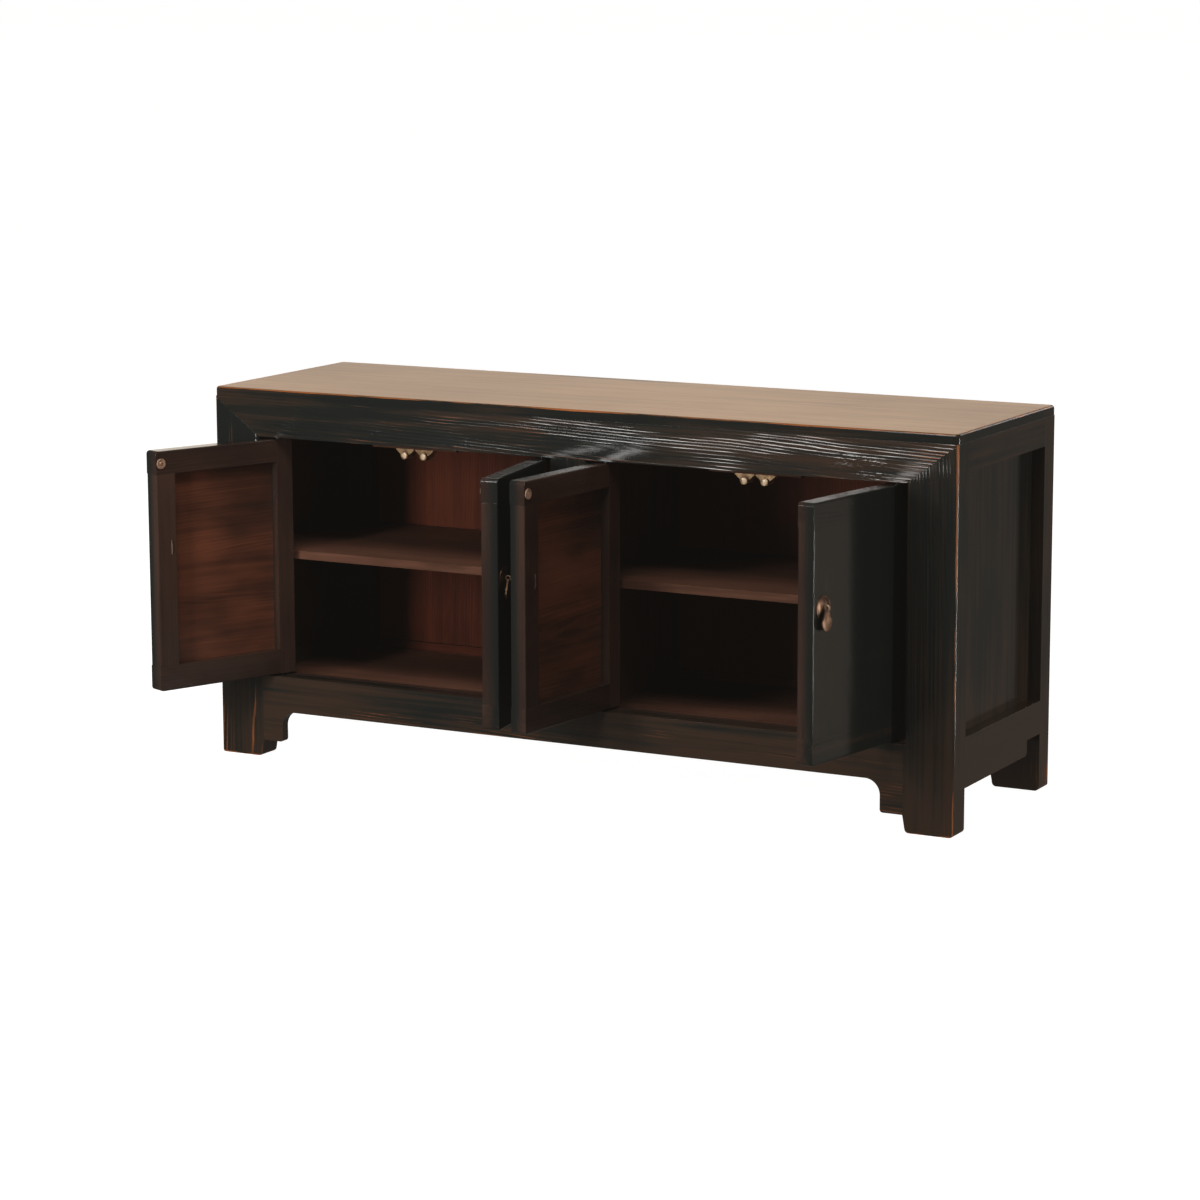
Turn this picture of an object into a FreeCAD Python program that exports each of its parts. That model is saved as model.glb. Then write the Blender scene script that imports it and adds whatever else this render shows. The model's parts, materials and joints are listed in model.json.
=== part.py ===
"""Low four-door sideboard: a mitred post-and-rail case with frame-and-panel doors on wooden pivots.

Millimetres, +Z up. The doors are stored open. The case is drawn about its own floor centre
and each door about its own pivot, and every piece is then placed by its Placement.
"""
import FreeCAD, Part
import Sketcher

import os
import re

# Driving sizes, each set by itself
SIZES = {
    # Case outside
    "case_width": 1342,
    "case_depth": 402,
    "case_height": 625,
    # Place of the case's floor centre in the part's frame
    "case_shift_x": 1.5,
    "case_shift_y": 112.84,
    # Top board
    "top_thickness": 16,
    "top_corner_radius": 8,
    "top_edge_radius": 5,
    # Posts
    "leg_width": 85,
    "leg_depth": 44,
    "leg_arris_radius": 5,
    "foot_taper": 5,
    "foot_radius": 7,
    # Front frame
    "opening_bottom": 140,
    "front_top_rail_height": 64,
    "opening_arris_radius": 7,
    "apron_height": 60,
    "bracket_length": 38,
    "bracket_drop": 52,
    "bracket_radius": 25,
    "bracket_toe_radius": 5,
    "bracket_thickness": 16,
    "centre_stile_width": 68,
    # Side and back frames
    "side_rail_thickness": 40,
    "side_top_rail_height": 46,
    "side_bottom_rail_height": 80,
    "side_bottom_rail_top": 150,
    "side_notch_length": 55,
    "side_notch_height": 25,
    "side_notch_radius": 6,
    "side_panel_recess": 22,
    "side_panel_thickness": 10,
    "back_rail_depth": 30,
    "back_panel_recess": 12,
    "back_panel_thickness": 10,
    # Joinery
    "groove_depth": 8,
    "tenon_length": 22,
    "tenon_thickness": 12,
    "tenon_shoulder": 12,
    "tenon_land": 3,
    # Inside
    "floor_drop": 15,
    "floor_thickness": 14,
    "shelf_top": 348,
    "shelf_thickness": 14,
    "shelf_setback": 50,
    "shelf_tongue_width": 40,
    "cleat_width": 18,
    "cleat_height": 18,
    "divider_thickness": 16,
    # Doors
    "door_thickness": 28,
    "door_setback": 11,
    "door_side_gap": 2,
    "door_meeting_gap": 3,
    "door_end_gap": 3.5,
    "door_edge_radius": 2.5,
    "door_corner_radius": 6,
    "heel_radius": 22,
    "door_stile_width": 36,
    "door_top_rail_height": 38,
    "door_bottom_rail_height": 41,
    "door_panel_recess": 16,
    "door_tongue_depth": 5,
    "door_tongue_thickness": 6,
    "door_tenon_length": 16,
    "door_tenon_thickness": 8,
    "door_tenon_shoulder": 9,
    "pivot_diameter": 12,
    "pivot_length": 12,
    "pivot_clearance": 0.08,
    "pivot_end_clearance": 0.3,
    # How far the doors stand open: the outer two by angle, the middle two until their pulls are nearly met
    "door_1_angle": 112.8,
    "door_4_angle": 80.7,
    "middle_pull_gap": 5.8,
    "door_2_lean_share": 0.632,
    # Pulls
    "pull_edge_inset": 27,
    "pull_height": 382,
    "plate_diameter": 38,
    "plate_thickness": 2,
    "pin_strip": 2.2,
    "pin_eye_radius": 3.9,
    "pin_shank_height": 3,
    "pin_clearance": 0.2,
    "pin_tail_length": 12,
    "pendant_drop": 19.6,
    "pendant_neck_width": 6.4,
    "pendant_width": 24,
    "pendant_thickness": 3,
    "pendant_clearance": 0.5,
    # Catches
    "strike_diameter": 17,
    "strike_thickness": 1.5,
    "strike_edge_inset": 10,
    "strike_top_inset": 20.5,
    "batten_length": 160,
    "batten_thickness": 24,
    "batten_drop": 10,
    "batten_lap": 30,
    "catch_spacing": 36,
    "catch_gap": 0.5,
    "catch_radius": 6.5,
    "catch_length": 25,
    "catch_hang": 10.5,
    "catch_base_width": 34,
    "catch_base_length": 18,
    "catch_base_edge": 2,
    "magnet_radius": 4.6,
    "magnet_length": 12,
    "magnet_clearance": 0.05,
    # One overrun for all cuts
    "overrun": 2,
}

# Sizes and places worked out from the driving ones
PLACES = {
    "half_width": "case_width / 2",
    "half_depth": "case_depth / 2",
    "under_top": "case_height - top_thickness",
    "leg_edge": "half_width - leg_width",
    "front_back": "leg_depth - half_depth",
    "back_front": "half_depth - leg_depth",
    "opening_top": "under_top - front_top_rail_height",
    "apron_bottom": "opening_bottom - apron_height",
    "bracket_bottom": "apron_bottom - bracket_drop",
    "bracket_edge": "leg_edge - bracket_length",
    "stile_edge": "centre_stile_width / 2",
    "side_inner": "half_width - side_rail_thickness",
    "panel_outer": "half_width - side_panel_recess",
    "panel_inner": "panel_outer - side_panel_thickness",
    "side_top_rail_bottom": "under_top - side_top_rail_height",
    "side_bottom_rail_bottom": "side_bottom_rail_top - side_bottom_rail_height",
    "side_tenon_inner": "half_width - (side_rail_thickness + tenon_thickness) / 2",
    "mitre_at_side_tenon": "opening_top + front_top_rail_height * (side_tenon_inner - leg_edge) / leg_width",
    "back_rail_front": "half_depth - back_rail_depth",
    "back_panel_back": "half_depth - back_panel_recess",
    "back_panel_front": "back_panel_back - back_panel_thickness",
    "floor_top": "opening_bottom - floor_drop",
    "floor_bottom": "floor_top - floor_thickness",
    "shelf_bottom": "shelf_top - shelf_thickness",
    "shelf_front": "shelf_setback - half_depth",
    "half_door": "door_thickness / 2",
    "door_width": "(leg_edge - stile_edge - 2 * door_side_gap - door_meeting_gap) / 2",
    "door_reach": "door_width - heel_radius",
    "door_bottom": "opening_bottom + door_end_gap",
    "door_top": "opening_top - door_end_gap",
    "door_field_top": "door_top - door_top_rail_height",
    "door_field_bottom": "door_bottom + door_bottom_rail_height",
    "hinge_stile_edge": "door_stile_width - heel_radius",
    "free_stile_edge": "door_reach - door_stile_width",
    "panel_face": "half_door - door_panel_recess",
    "tongue_y": "(panel_face - half_door) / 2",
    "pivot_y": "door_setback + half_door - half_depth",
    "pivot_end_x": "leg_edge - door_side_gap - heel_radius",
    "pivot_mid_x": "stile_edge + door_side_gap + heel_radius",
    "socket_radius": "pivot_diameter / 2 + pivot_clearance",
    "socket_depth": "pivot_length + pivot_end_clearance",
    "pull_x": "door_reach - pull_edge_inset",
    "plate_face": "half_door + plate_thickness",
    "eye_outer": "pin_eye_radius + pin_strip / 2",
    "eye_inner": "pin_eye_radius - pin_strip / 2",
    "octagon_share": "sqrt(2) - 1",
    "eye_depth": "plate_face + eye_outer",
    "pull_out": "eye_depth + eye_outer",
    "shank_front": "plate_face + pin_strip / 2",
    "shank_back": "half_door + pin_strip / 2",
    "middle_lean_sine": "(2 * (pivot_mid_x - pull_out) - middle_pull_gap) / pull_x",
    "door_2_angle": "90 + asin(door_2_lean_share * middle_lean_sine) / 1 deg",
    "door_3_angle": "90 + asin((1 - door_2_lean_share) * middle_lean_sine) / 1 deg",
    "pendant_axis_z": "pull_height - pin_eye_radius",
    "pendant_hole_reach": "pin_strip / sqrt(2) + pendant_clearance",
    "pendant_foot_z": "pendant_axis_z - pendant_drop",
    "pendant_lean_sine": "(pendant_width - pendant_neck_width) / 2 / pendant_drop",
    "pendant_lean_cosine": "sqrt(1 - pendant_lean_sine * pendant_lean_sine)",
    "strike_x": "door_reach - strike_edge_inset",
    "strike_z": "door_top - strike_top_inset",
    "opening_middle": "(leg_edge + stile_edge) / 2",
    "batten_bottom": "opening_top - batten_drop",
    "catch_z": "batten_bottom - catch_hang",
    "catch_front": "door_setback + door_thickness + strike_thickness + catch_gap - half_depth",
}

doc = FreeCAD.newDocument("sideboard")
sheets = {}
for sheet_name, table in (("Sizes", SIZES), ("Places", PLACES)):
    sheet = doc.addObject("Spreadsheet::Sheet", sheet_name)
    for row, alias in enumerate(table, start=1):
        sheet.set(f"A{row}", alias)
        sheet.setAlias(f"B{row}", alias)
        sheets[alias] = (sheet_name,)


def bound(text):
    """Expression text in which each named size refers to its cell."""
    return re.sub(r"[a-z_][a-z_0-9]*", lambda word: ".".join((*sheets.get(word[0], ()), word[0])), text)


for row, number in enumerate(SIZES.values(), start=1):
    doc.Sizes.set(f"B{row}", str(number))
for row, formula in enumerate(PLACES.values(), start=1):
    doc.Places.set(f"B{row}", "=" + bound(formula))
doc.recompute()


def value(text):
    """The present value of an expression in named sizes."""
    return float(doc.Sizes.evalExpression(bound(text)))


def bind(obj, prop, text):
    """Drive one property of an object from the sheets."""
    obj.setExpression(prop, bound(text))


def toward(side, low, high):
    """A span along X for the right (+1) side, or its mirror image for the left (-1)."""
    return (low, high) if side > 0 else (f"-({high})", f"-({low})")


def box(name, x_span, y_span, z_span):
    """Plain block between named levels."""
    block = doc.addObject("Part::Box", name)
    for prop, axis, (low, high) in zip(("Length", "Width", "Height"), "xyz", (x_span, y_span, z_span)):
        bind(block, prop, f"({high}) - ({low})")
        bind(block, f"Placement.Base.{axis}", low)
    return block


# Axis and angle that turn an upright cylinder along each axis
AXIS_TURN = {
    "x": (FreeCAD.Vector(0, 1, 0), 90),
    "y": (FreeCAD.Vector(1, 0, 0), -90),
    "z": (FreeCAD.Vector(0, 0, 1), 0),
}


def rod(name, axis, start, radius, length):
    """Cylinder that runs along +X, +Y or +Z from a named point."""
    cylinder = doc.addObject("Part::Cylinder", name)
    cylinder.Placement = FreeCAD.Placement(FreeCAD.Vector(), FreeCAD.Rotation(*AXIS_TURN[axis]))
    bind(cylinder, "Radius", radius)
    bind(cylinder, "Height", length)
    for letter, place in zip("xyz", start):
        bind(cylinder, f"Placement.Base.{letter}", place)
    return cylinder


def join(name, pieces):
    """Union of overlapping or touching solids."""
    union = doc.addObject("Part::MultiFuse", name)
    union.Shapes = pieces
    union.Refine = True
    return union


def cut(name, base, tools):
    """A solid with other solids taken out of it."""
    result = doc.addObject("Part::Cut", name)
    result.Base = base
    result.Tool = tools[0] if len(tools) == 1 else join(name + "_tools", tools)
    result.Refine = True
    return result


def group(name, pieces):
    """Separate solids that share one node."""
    compound = doc.addObject("Part::Compound", name)
    compound.Links = pieces
    return compound


PLANE_ROLES = {"XY": "XY_Plane", "XZ": "XZ_Plane", "YZ": "YZ_Plane"}
PLANE_AXES = {"XY": (0, 1), "XZ": (0, 2), "YZ": (1, 2)}
SAME_PLACE = 1e-4


def attach(sketch, body, plane, low, high):
    """Put a sketch on its body's own plane, at the level where its pad starts."""
    role = PLANE_ROLES[plane]
    support = next(feature for feature in body.Origin.OriginFeatures if feature.Role == role)
    sketch.AttachmentSupport = [(support, "")]
    sketch.MapMode = "FlatFace"
    bind(sketch, "AttachmentOffset.Base.z", f"-({high})" if plane == "XZ" else low)


def fix_point(sketch, geometry, point, place, name):
    """Tie a sketch point to named coordinates."""
    for letter, kind, text in zip("uv", ("DistanceX", "DistanceY"), place):
        index = sketch.addConstraint(Sketcher.Constraint(kind, -1, 1, geometry, point, value(text)))
        sketch.renameConstraint(index, f"{name}_{letter}")
        bind(sketch, f"Constraints.{name}_{letter}", text)


def draw_outline(sketch, corners):
    """Closed outline of straight lines through named corners."""
    count = len(corners)
    spots = [FreeCAD.Vector(value(corner[0]), value(corner[1]), 0) for corner in corners]
    for i in range(count):
        sketch.addGeometry(Part.LineSegment(spots[i], spots[(i + 1) % count]), False)
    for i in range(count):
        sketch.addConstraint(Sketcher.Constraint("Coincident", i, 2, (i + 1) % count, 1))
    for i, corner in enumerate(corners):
        fix_point(sketch, i, 1, corner[:2], f"corner{i}")


def edges_at(shape, plane, corner):
    """Names of the edges that run along the pad's direction through one corner of its outline."""
    first, second = PLANE_AXES[plane]
    u, v = value(corner[0]), value(corner[1])
    found = []
    for number, edge in enumerate(shape.Edges, start=1):
        ends = [vertex.Point for vertex in edge.Vertexes]
        if all(abs(end[first] - u) + abs(end[second] - v) < SAME_PLACE for end in ends):
            found.append(f"Edge{number}")
    return found


def prism(name, plane, corners, span):
    """Padded outline. A corner with a third entry is rounded with the radius that it names."""
    body = doc.addObject("PartDesign::Body", name)
    sketch = body.newObject("Sketcher::SketchObject", name + "_outline")
    attach(sketch, body, plane, *span)
    draw_outline(sketch, corners)
    pad = body.newObject("PartDesign::Pad", name + "_pad")
    pad.Profile = sketch
    bind(pad, "Length", f"({span[1]}) - ({span[0]})")
    doc.recompute()
    tip = pad
    for radius in dict.fromkeys(corner[2] for corner in corners if len(corner) > 2):
        edges = []
        for corner in corners:
            if len(corner) > 2 and corner[2] == radius:
                edges += edges_at(tip.Shape, plane, corner)
        fillet = body.newObject("PartDesign::Fillet", f"{name}_{radius}")
        fillet.Base = (tip, edges)
        bind(fillet, "Radius", radius)
        doc.recompute()
        tip = fillet
    return body


def rectangle(u_span, v_span, radius=None):
    """Corners of a rectangle, anticlockwise from the lower left, all rounded if a radius is named."""
    places = [(u_span[0], v_span[0]), (u_span[1], v_span[0]), (u_span[1], v_span[1]), (u_span[0], v_span[1])]
    return [place + ((radius,) if radius else ()) for place in places]


def octagon(u, v, reach):
    """Corners of an even octagon with flats at the named reach from its middle."""
    half_flat = f"{reach} * octagon_share"
    right = [(f"{u} + {half_flat}", f"{v} - {reach}"), (f"{u} + {reach}", f"{v} - {half_flat}"),
             (f"{u} + {reach}", f"{v} + {half_flat}"), (f"{u} + {half_flat}", f"{v} + {reach}")]
    left = [(f"{u} - {half_flat}", f"{v} + {reach}"), (f"{u} - {reach}", f"{v} + {half_flat}"),
            (f"{u} - {reach}", f"{v} - {half_flat}"), (f"{u} - {half_flat}", f"{v} - {reach}")]
    return right + left


def arris_tool(name, corner, inward, span, radius, axis="z"):
    """What a rounded edge along an axis takes away; inward gives the signs from the corner into the wood."""
    spans = []
    centre = []
    for place, sign in zip(corner, inward):
        low, high = f"({place}) - overrun", f"({place}) + {radius}"
        spans.append((low, high) if sign > 0 else (f"({place}) - {radius}", f"({place}) + overrun"))
        centre.append(f"({place}) + {radius}" if sign > 0 else f"({place}) - {radius}")
    low, high = span
    spans.insert("xyz".index(axis), span)
    centre.insert("xyz".index(axis), f"({low}) - overrun")
    core = rod(name + "_core", axis, centre, radius, f"({high}) - ({low}) + 2 * overrun")
    return cut(name, box(name + "_block", *spans), [core])


SUBPARTS = {}


def finish(node, obj, place=("case_shift_x", "case_shift_y"), turn=None):
    """Name a finished sub-part and put it in the part's frame, turned about Z if it rides on a door."""
    obj.Label = node
    if turn:
        bind(obj, "Placement.Rotation.Angle", turn)
    for letter, text in zip("xy", place):
        bind(obj, f"Placement.Base.{letter}", text)
    SUBPARTS[node] = obj


SIDES = {"left": -1, "right": 1}
FRONT_SPAN = ("-half_depth", "front_back")
SIDE_SPAN = ("front_back", "back_front")
TENON_REACH = "leg_edge + tenon_length"


def signed(side, text):
    """A place on the right side, or its mirror image on the left."""
    return text if side > 0 else f"-({text})"


def middle_third(low, high):
    """Span of a tenon centred between two faces."""
    return (f"(({low}) + ({high}) - tenon_thickness) / 2", f"(({low}) + ({high}) + tenon_thickness) / 2")


def shouldered(low, high):
    """Span of a tenon's width, inside its rail's two edges."""
    return (f"({low}) + tenon_shoulder", f"({high}) - tenon_shoulder")


APRON_TENON_Y = middle_third(*FRONT_SPAN)
APRON_TENON_Z = shouldered("apron_bottom", "opening_bottom")
BACK_TENON_Y = middle_third("back_rail_front", "half_depth")
BACK_TOP_TENON_Z = shouldered("opening_top", "under_top")
SIDE_TENON_X = ("side_tenon_inner", "side_tenon_inner + tenon_thickness")
SIDE_TOP_TENON_Z = ("side_top_rail_bottom + tenon_shoulder", "mitre_at_side_tenon - tenon_land")
SIDE_BOTTOM_TENON_Z = shouldered("side_bottom_rail_bottom + side_notch_height", "side_bottom_rail_top")
STILE_TENON_X = ("tenon_shoulder - stile_edge", "stile_edge - tenon_shoulder")
PIVOTS = ("-pivot_end_x", "-pivot_mid_x", "pivot_mid_x", "pivot_end_x")


# Top board

def build_top_board():
    reach_x = ("-half_width", "half_width")
    reach_y = ("-half_depth", "half_depth")
    outline = rectangle(reach_x, reach_y, "top_corner_radius")
    body = prism("top_board_body", "XY", outline, ("under_top", "case_height"))
    board = body.Tip
    top = value("case_height")
    faces = [
        f"Face{number}" for number, face in enumerate(board.Shape.Faces, start=1)
        if abs(face.BoundBox.ZMin - top) < SAME_PLACE
    ]
    edge = body.newObject("PartDesign::Fillet", "top_board_edge")
    edge.Base = (board, faces)
    bind(edge, "Radius", "top_edge_radius")
    doc.recompute()
    finish("top_board", body)


# Posts

def side_groove(name, side, y_span):
    """Groove that takes the edge of a side panel."""
    return box(name, toward(side, "panel_inner", "panel_outer"), y_span,
               ("side_bottom_rail_top - groove_depth", "side_top_rail_bottom + groove_depth"))


def side_mortises(name, side, y_span):
    """Mortises for the two rails of a side frame."""
    return [
        box(f"{name}_{level}_mortise", toward(side, *SIDE_TENON_X), y_span, z_span)
        for level, z_span in (("top", SIDE_TOP_TENON_Z), ("bottom", SIDE_BOTTOM_TENON_Z))
    ]


def build_front_leg(word, side):
    name = f"front_leg_{word}"
    corners = [
        (signed(side, "leg_edge + foot_taper"), "0", "foot_radius"),
        (signed(side, "half_width"), "0", "foot_radius"),
        (signed(side, "half_width"), "under_top"),
        (signed(side, "leg_edge"), "opening_top"),
        (signed(side, "leg_edge"), "bracket_bottom"),
    ]
    post = prism(name + "_post", "XZ", corners, FRONT_SPAN)
    height = ("-overrun", "under_top + overrun")
    outer = (signed(side, "half_width"), "-half_depth")
    inner = (signed(side, "leg_edge"), "-half_depth")
    inner_reach = toward(side, "leg_edge - overrun", TENON_REACH)
    tools = [
        arris_tool(name + "_arris", outer, (-side, 1), height, "leg_arris_radius"),
        arris_tool(name + "_opening_arris", inner, (side, 1),
                   ("opening_bottom", "opening_top + opening_arris_radius"), "opening_arris_radius"),
        box(name + "_apron_mortise", inner_reach, APRON_TENON_Y, APRON_TENON_Z),
        side_groove(name + "_groove", side, ("front_back - groove_depth", "front_back + overrun")),
    ]
    tools += side_mortises(name, side, ("front_back - tenon_length", "front_back + overrun"))
    finish(name, cut(name, post, tools))


def build_back_leg(word, side):
    name = f"back_leg_{word}"
    corners = [
        (signed(side, "leg_edge + foot_taper"), "0", "foot_radius"),
        (signed(side, "half_width"), "0", "foot_radius"),
        (signed(side, "half_width"), "under_top"),
        (signed(side, "leg_edge"), "under_top"),
        (signed(side, "leg_edge"), "bracket_bottom"),
    ]
    post = prism(name + "_post", "XZ", corners, ("back_front", "half_depth"))
    height = ("-overrun", "under_top + overrun")
    outer = (signed(side, "half_width"), "half_depth")
    inner_reach = toward(side, "leg_edge - overrun", TENON_REACH)
    tools = [
        arris_tool(name + "_arris", outer, (-side, -1), height, "leg_arris_radius"),
        box(name + "_top_mortise", inner_reach, BACK_TENON_Y, BACK_TOP_TENON_Z),
        box(name + "_bottom_mortise", inner_reach, BACK_TENON_Y, APRON_TENON_Z),
        box(name + "_back_groove", toward(side, "leg_edge - overrun", "leg_edge + groove_depth"),
            ("back_panel_front", "back_panel_back"),
            ("opening_bottom - groove_depth", "opening_top + groove_depth")),
        side_groove(name + "_groove", side, ("back_front - overrun", "back_front + groove_depth")),
    ]
    tools += side_mortises(name, side, ("back_front - overrun", "back_front + tenon_length"))
    finish(name, cut(name, post, tools))


# Front frame

def build_front_top_rail():
    corners = [
        ("-leg_edge", "opening_top"),
        ("leg_edge", "opening_top"),
        ("half_width", "under_top"),
        ("-half_width", "under_top"),
    ]
    rail = prism("front_top_rail_board", "XZ", corners, FRONT_SPAN)
    height = ("opening_top - overrun", "under_top + overrun")
    tools = [
        arris_tool(f"front_top_rail_{word}_arris", (signed(side, "half_width"), "-half_depth"), (-side, 1),
                   height, "leg_arris_radius")
        for word, side in SIDES.items()
    ]
    tools += [
        rod(f"upper_socket_{i}", "z", (x, "pivot_y", "opening_top - overrun"),
            "socket_radius", "socket_depth + overrun")
        for i, x in enumerate(PIVOTS, start=1)
    ]
    tools.append(box("upper_stile_mortise", STILE_TENON_X, APRON_TENON_Y,
                     ("opening_top - overrun", "opening_top + tenon_length")))
    finish("front_top_rail", cut("front_top_rail", rail, tools))


def build_front_apron():
    half = [
        ("bracket_edge", "apron_bottom", "bracket_radius"),
        ("bracket_edge", "bracket_bottom", "bracket_toe_radius"),
        ("leg_edge", "bracket_bottom"),
        ("leg_edge", "opening_bottom"),
    ]
    mirrored = [(signed(-1, corner[0]), *corner[1:]) for corner in reversed(half)]
    board = prism("front_apron_board", "XZ", half + mirrored, FRONT_SPAN)
    tenons = [
        box(f"front_apron_{word}_tenon", toward(side, "leg_edge", TENON_REACH), APRON_TENON_Y, APRON_TENON_Z)
        for word, side in SIDES.items()
    ]
    tools = [
        rod(f"lower_socket_{i}", "z", (x, "pivot_y", "opening_bottom - socket_depth"),
            "socket_radius", "socket_depth + overrun")
        for i, x in enumerate(PIVOTS, start=1)
    ]
    tools.append(box("lower_stile_mortise", STILE_TENON_X, APRON_TENON_Y,
                     ("opening_bottom - tenon_length", "opening_bottom + overrun")))
    reach = ("-leg_edge - overrun", "leg_edge + overrun")
    tools.append(box("front_floor_groove", reach, ("front_back - groove_depth", "front_back + overrun"),
                     ("floor_bottom", "floor_top")))
    tools.append(box("bracket_relief", reach, ("bracket_thickness - half_depth", "front_back + overrun"),
                     ("bracket_bottom - overrun", "apron_bottom")))
    finish("front_apron", cut("front_apron", join("front_apron_whole", [board] + tenons), tools))


def build_centre_stile():
    post = box("centre_stile_post", ("-stile_edge", "stile_edge"), FRONT_SPAN,
               ("opening_bottom", "opening_top"))
    tenon = box("centre_stile_tenon", STILE_TENON_X, APRON_TENON_Y,
                ("opening_bottom - tenon_length", "opening_top + tenon_length"))
    height = ("opening_bottom - overrun", "opening_top + overrun")
    tools = [
        arris_tool(f"centre_stile_{word}_arris", (signed(side, "stile_edge"), "-half_depth"), (-side, 1),
                   height, "opening_arris_radius")
        for word, side in SIDES.items()
    ]
    tools.append(box("shelf_mortise", ("-shelf_tongue_width / 2", "shelf_tongue_width / 2"),
                     ("front_back - groove_depth", "front_back + overrun"), ("shelf_bottom", "shelf_top")))
    shaped = cut("centre_stile_shaped", post, tools)
    finish("centre_stile", join("centre_stile", [shaped, cut("centre_stile_tongue", tenon, [tools[-1]])]))


# Back frame

def build_back_rail(level, z_span, tenon_z, panel_groove_z, floor_groove):
    name = f"back_{level}_rail"
    board = box(name + "_board", ("-leg_edge", "leg_edge"), ("back_rail_front", "half_depth"), z_span)
    tenon = box(name + "_tenon", (f"-({TENON_REACH})", TENON_REACH), BACK_TENON_Y, tenon_z)
    length = ("-leg_edge - overrun", "leg_edge + overrun")
    tools = [box(name + "_groove", length, ("back_panel_front", "back_panel_back"), panel_groove_z)]
    if floor_groove:
        tools.append(box(name + "_floor_groove", length,
                         ("back_rail_front - overrun", "back_rail_front + groove_depth"),
                         ("floor_bottom", "floor_top")))
    grooved = cut(name + "_grooved", board, tools)
    finish(name, join(name, [grooved, cut(name + "_tenon_cut", tenon, tools)]))


def build_back_panel():
    corners = rectangle(("-leg_edge - groove_depth", "leg_edge + groove_depth"),
                        ("opening_bottom - groove_depth", "opening_top + groove_depth"))
    finish("back_panel", prism("back_panel_board", "XZ", corners, ("back_panel_front", "back_panel_back")))


# Side frames

def build_side_rail(word, side, level, corners, tenon_z, groove_z):
    name = f"side_{level}_rail_{word}"
    board = prism(name + "_board", "YZ", corners, toward(side, "side_inner", "half_width"))
    tenon = box(name + "_tenon", toward(side, *SIDE_TENON_X),
                ("front_back - tenon_length", "back_front + tenon_length"), tenon_z)
    groove = box(name + "_groove", toward(side, "panel_inner", "panel_outer"),
                 ("front_back - overrun", "back_front + overrun"), groove_z)
    finish(name, cut(name, join(name + "_whole", [board, tenon]), [groove]))


def build_side(word, side):
    top = rectangle(SIDE_SPAN, ("side_top_rail_bottom", "under_top"))
    build_side_rail(word, side, "top", top, SIDE_TOP_TENON_Z,
                    ("side_top_rail_bottom - overrun", "side_top_rail_bottom + groove_depth"))
    bottom = [
        ("front_back", "side_bottom_rail_bottom"),
        ("back_front - side_notch_length", "side_bottom_rail_bottom", "side_notch_radius"),
        ("back_front - side_notch_length", "side_bottom_rail_bottom + side_notch_height"),
        ("back_front", "side_bottom_rail_bottom + side_notch_height"),
        ("back_front", "side_bottom_rail_top"),
        ("front_back", "side_bottom_rail_top"),
    ]
    build_side_rail(word, side, "bottom", bottom, SIDE_BOTTOM_TENON_Z,
                    ("side_bottom_rail_top - groove_depth", "side_bottom_rail_top + overrun"))
    panel = rectangle(("front_back - groove_depth", "back_front + groove_depth"),
                      ("side_bottom_rail_top - groove_depth", "side_top_rail_bottom + groove_depth"))
    name = f"side_panel_{word}"
    finish(name, prism(name + "_board", "YZ", panel, toward(side, "panel_inner", "panel_outer")))


# Inside

def build_floor_and_shelf():
    floor_z = ("floor_bottom", "floor_top")
    floor = [
        box("floor_main", ("-side_inner", "side_inner"), SIDE_SPAN, floor_z),
        box("floor_tongues", ("-leg_edge", "leg_edge"),
            ("front_back - groove_depth", "back_rail_front + groove_depth"), floor_z),
    ]
    finish("bottom_board", join("bottom_board", floor))
    shelf_z = ("shelf_bottom", "shelf_top")
    shelf = [
        box("shelf_main", ("-panel_inner", "panel_inner"), ("shelf_front", "back_front"), shelf_z),
        box("shelf_rear", ("-leg_edge", "leg_edge"), ("shelf_front", "back_panel_front"), shelf_z),
        box("shelf_tongue", ("-shelf_tongue_width / 2", "shelf_tongue_width / 2"),
            ("front_back - groove_depth", "back_front"), shelf_z),
    ]
    finish("shelf", join("shelf", shelf))
    cleat_z = ("shelf_bottom - cleat_height", "shelf_bottom")
    ends = [
        box(f"shelf_end_cleat_{word}", toward(side, "panel_inner - cleat_width", "panel_inner"),
            SIDE_SPAN, cleat_z)
        for word, side in SIDES.items()
    ]
    back = box("shelf_back_cleat", ("-leg_edge", "leg_edge"),
               ("back_panel_front - cleat_width", "back_panel_front"), cleat_z)
    finish("shelf_cleats", group("shelf_cleats", [*ends, back]))


def build_dividers():
    """Boards behind the centre stile, over and under the shelf, notched round the cleat and the back rails."""
    lower = [
        ("front_back", "floor_top"),
        ("back_rail_front", "floor_top"),
        ("back_rail_front", "opening_bottom"),
        ("back_panel_front", "opening_bottom"),
        ("back_panel_front", "shelf_bottom - cleat_height"),
        ("back_panel_front - cleat_width", "shelf_bottom - cleat_height"),
        ("back_panel_front - cleat_width", "shelf_bottom"),
        ("front_back", "shelf_bottom"),
    ]
    upper = [
        ("front_back", "shelf_top"),
        ("back_panel_front", "shelf_top"),
        ("back_panel_front", "opening_top"),
        ("back_rail_front", "opening_top"),
        ("back_rail_front", "under_top"),
        ("front_back", "under_top"),
    ]
    width = ("-divider_thickness / 2", "divider_thickness / 2")
    boards = [prism("lower_divider", "YZ", lower, width), prism("upper_divider", "YZ", upper, width)]
    finish("dividers", group("dividers", boards))


# Catches

def catch_places():
    """Middle of each catch along X, two over each pair of doors."""
    return [
        f"{'-' if side < 0 else ''}opening_middle {offset} catch_spacing / 2"
        for side in SIDES.values() for offset in "-+"
    ]


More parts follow.
